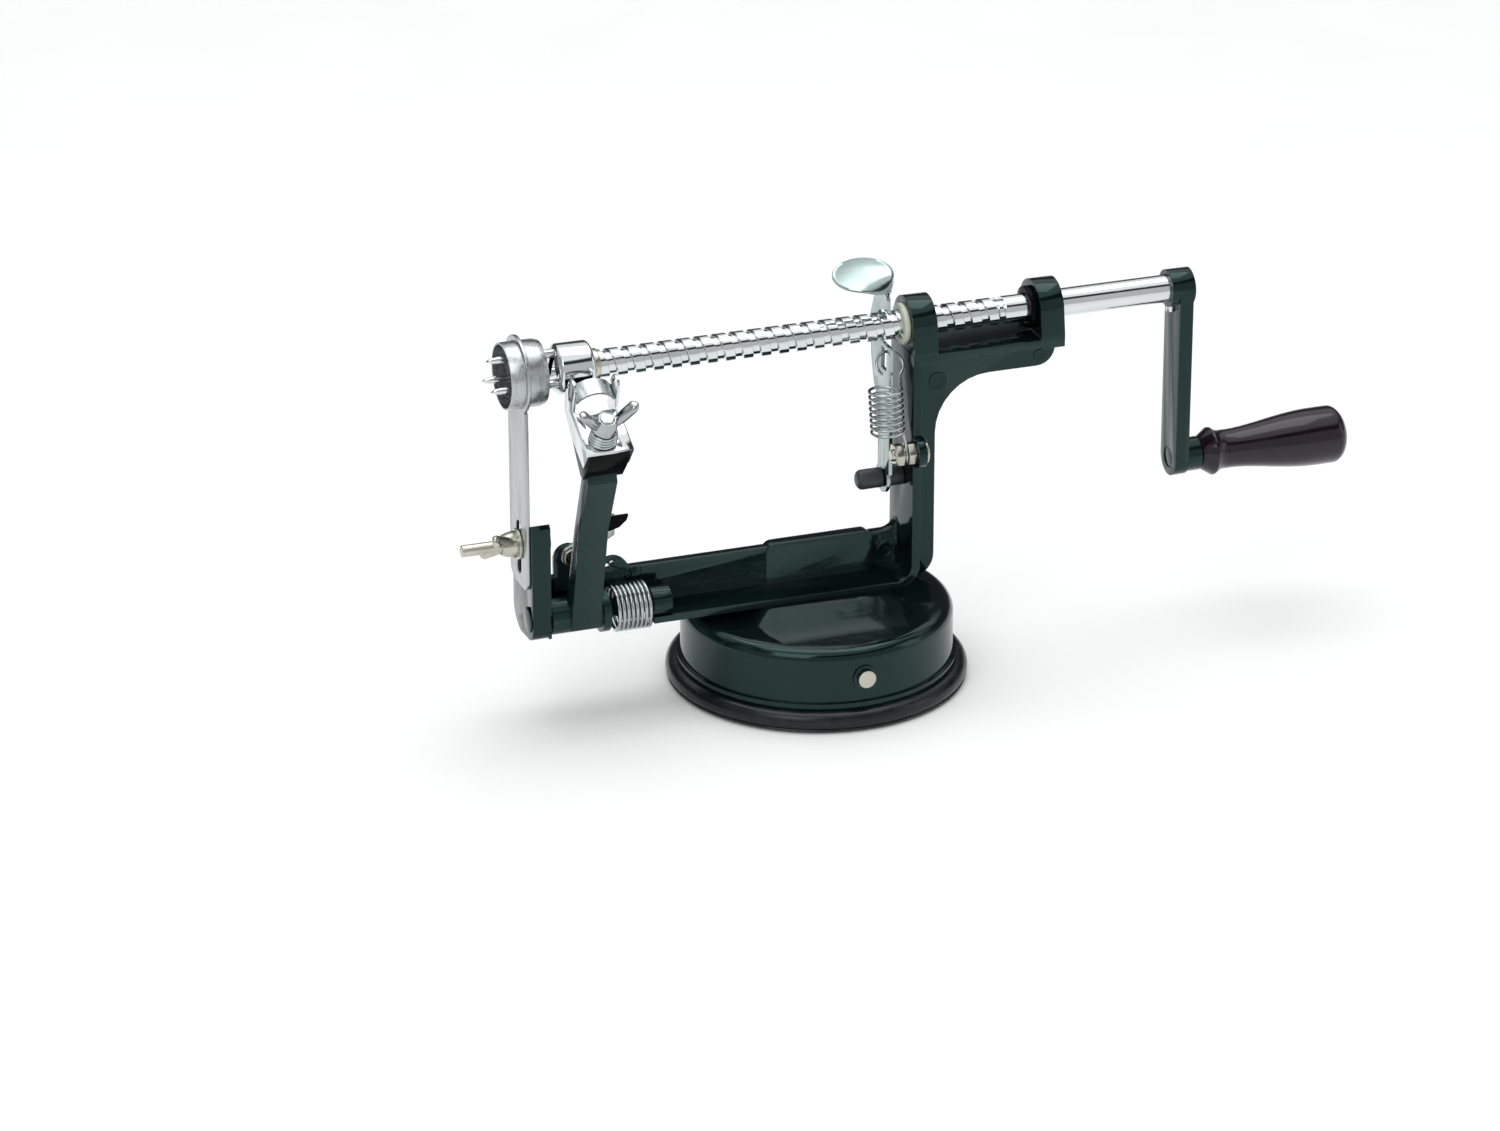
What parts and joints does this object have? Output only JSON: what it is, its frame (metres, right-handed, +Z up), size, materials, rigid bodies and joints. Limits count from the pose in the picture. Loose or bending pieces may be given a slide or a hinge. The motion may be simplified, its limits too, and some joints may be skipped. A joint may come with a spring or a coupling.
{
  "type": "apple peeler corer slicer",
  "caption": "Hand-cranked fruit peeler and corer on a round suction foot, with feed screw, sprung blade arm and turned wooden handle.",
  "frame": {"origin": "middle of the foot ring, on the table", "axes": "+X along the feed screw towards the crank, +Y to the back, +Z up out of the table"},
  "size_m": [0.3163, 0.1016, 0.1455],
  "materials": {
    "black_paint": "gloss",
    "chrome_plate": "polished",
    "zinc_plate": "satin",
    "blade_steel": "brushed",
    "cast_aluminium": "satin",
    "foot_rubber": "matte",
    "black_plastic": "gloss",
    "nylon": "satin",
    "lacquered_wood": "gloss lacquer"
  },
  "bodies": {
    "frame": {"base_cover": "black_paint", "foot_ring": "foot_rubber", "suction_diaphragm": "foot_rubber", "frame_casting": "black_paint", "base_screws": "zinc_plate", "front_bush": "nylon", "rear_bush": "black_plastic", "corer_bolt": "zinc_plate", "corer_washer": "zinc_plate", "peeler_pivot_pin": "black_paint", "peeler_spring": "chrome_plate", "latch_plate": "black_paint", "latch_rivet": "zinc_plate", "lever_pivot_stud": "black_plastic", "lever_spring": "chrome_plate", "anchor_bolt": "zinc_plate", "anchor_nuts": "zinc_plate"},
    "washer_carrier": {"fork_washer": "zinc_plate"},
    "drive": {"drive_shaft": "chrome_plate", "fork_hub": "chrome_plate", "fork_prongs": "chrome_plate", "crank_arm": "black_paint", "crank_set_screw": "zinc_plate", "handle_axle": "zinc_plate"},
    "handle": {"handle": "lacquered_wood"},
    "corer": {"slicing_strap": "blade_steel", "coring_ring": "blade_steel"},
    "corer_nut": {"corer_wing_nut": "zinc_plate"},
    "peeler": {"peeler_arm": "black_paint", "blade_block": "black_plastic", "blade_stud": "zinc_plate", "blade_spring": "chrome_plate"},
    "blade": {"blade_bracket": "chrome_plate", "peeling_blade": "blade_steel"},
    "blade_nut": {"blade_wing_nut": "chrome_plate"},
    "release_lever": {"release_lever": "cast_aluminium"},
    "latch": {"latch_lever": "blade_steel", "latch_tip": "black_plastic"},
    "suction_lever": {"suction_lever": "black_paint", "suction_lever_grip": "black_plastic", "cam_pin": "zinc_plate"},
    "suction_stud": {"suction_stud": "zinc_plate"}
  },
  "joints": [
    {"name": "shaft_feed", "type": "slide", "parent": "frame", "child": "washer_carrier", "axis": [1, 0, 0], "range_m": [-0.0312, 0.0838]},
    {"name": "crank_turn", "type": "hinge", "parent": "washer_carrier", "child": "drive", "pos_m": [0, 0, 0.1215], "axis": [1, 0, 0], "range_deg": [-1800, 4860]},
    {"name": "handle_spin", "type": "hinge", "parent": "drive", "child": "handle", "pos_m": [0.15, 0, 0.06], "axis": [1, 0, 0], "continuous": true},
    {"name": "peeler_swing", "type": "hinge", "parent": "frame", "child": "peeler", "pos_m": [-0.085, -0.0055, 0.0367], "axis": [1, 0, 0], "range_deg": [0, 55], "stiffness_Nm_per_rad": 0.3, "springref_deg": -34.38},
    {"name": "blade_adjust", "type": "slide", "parent": "peeler", "child": "blade", "axis": [0, 0.8788, 0.4772], "range_m": [-0.0015, 0.0015]},
    {"name": "blade_nut_turn", "type": "hinge", "parent": "peeler", "child": "blade_nut", "pos_m": [-0.086, -0.03728, 0.11615], "axis": [0, -0.4772, 0.8788], "continuous": true},
    {"name": "corer_adjust", "type": "slide", "parent": "frame", "child": "corer", "axis": [0, 0, 1], "range_m": [-0.0015, 0.0015]},
    {"name": "corer_nut_turn", "type": "hinge", "parent": "frame", "child": "corer_nut", "pos_m": [-0.11, 0, 0.062], "axis": [1, 0, 0], "continuous": true},
    {"name": "release_press", "type": "hinge", "parent": "frame", "child": "release_lever", "pos_m": [0.0235, 0, 0.0675], "axis": [-1, 0, 0], "range_deg": [0, 12], "stiffness_Nm_per_rad": 0.4, "springref_deg": -28.65, "deforming": ["lever_spring"]},
    {"name": "latch_turn", "type": "hinge", "parent": "frame", "child": "latch", "pos_m": [-0.0866, 0, 0.055], "axis": [0, 1, 0], "range_deg": [-10, 5]},
    {"name": "suction_lock", "type": "hinge", "parent": "frame", "child": "suction_lever", "pos_m": [0, 0, 0.0175], "axis": [0, -1, 0], "range_deg": [0, 90]},
    {"name": "stud_lift", "type": "slide", "parent": "frame", "child": "suction_stud", "axis": [0, 0, 1], "range_m": [-0.00205, 0], "deforming": ["suction_diaphragm"]}
  ],
  "couplings": [
    {"joint": "shaft_feed", "follows": "crank_turn", "m_per_rad": 0.00098676},
    {"joint": "stud_lift", "follows": "suction_lock", "m_per_rad": -0.0012732}
  ]
}
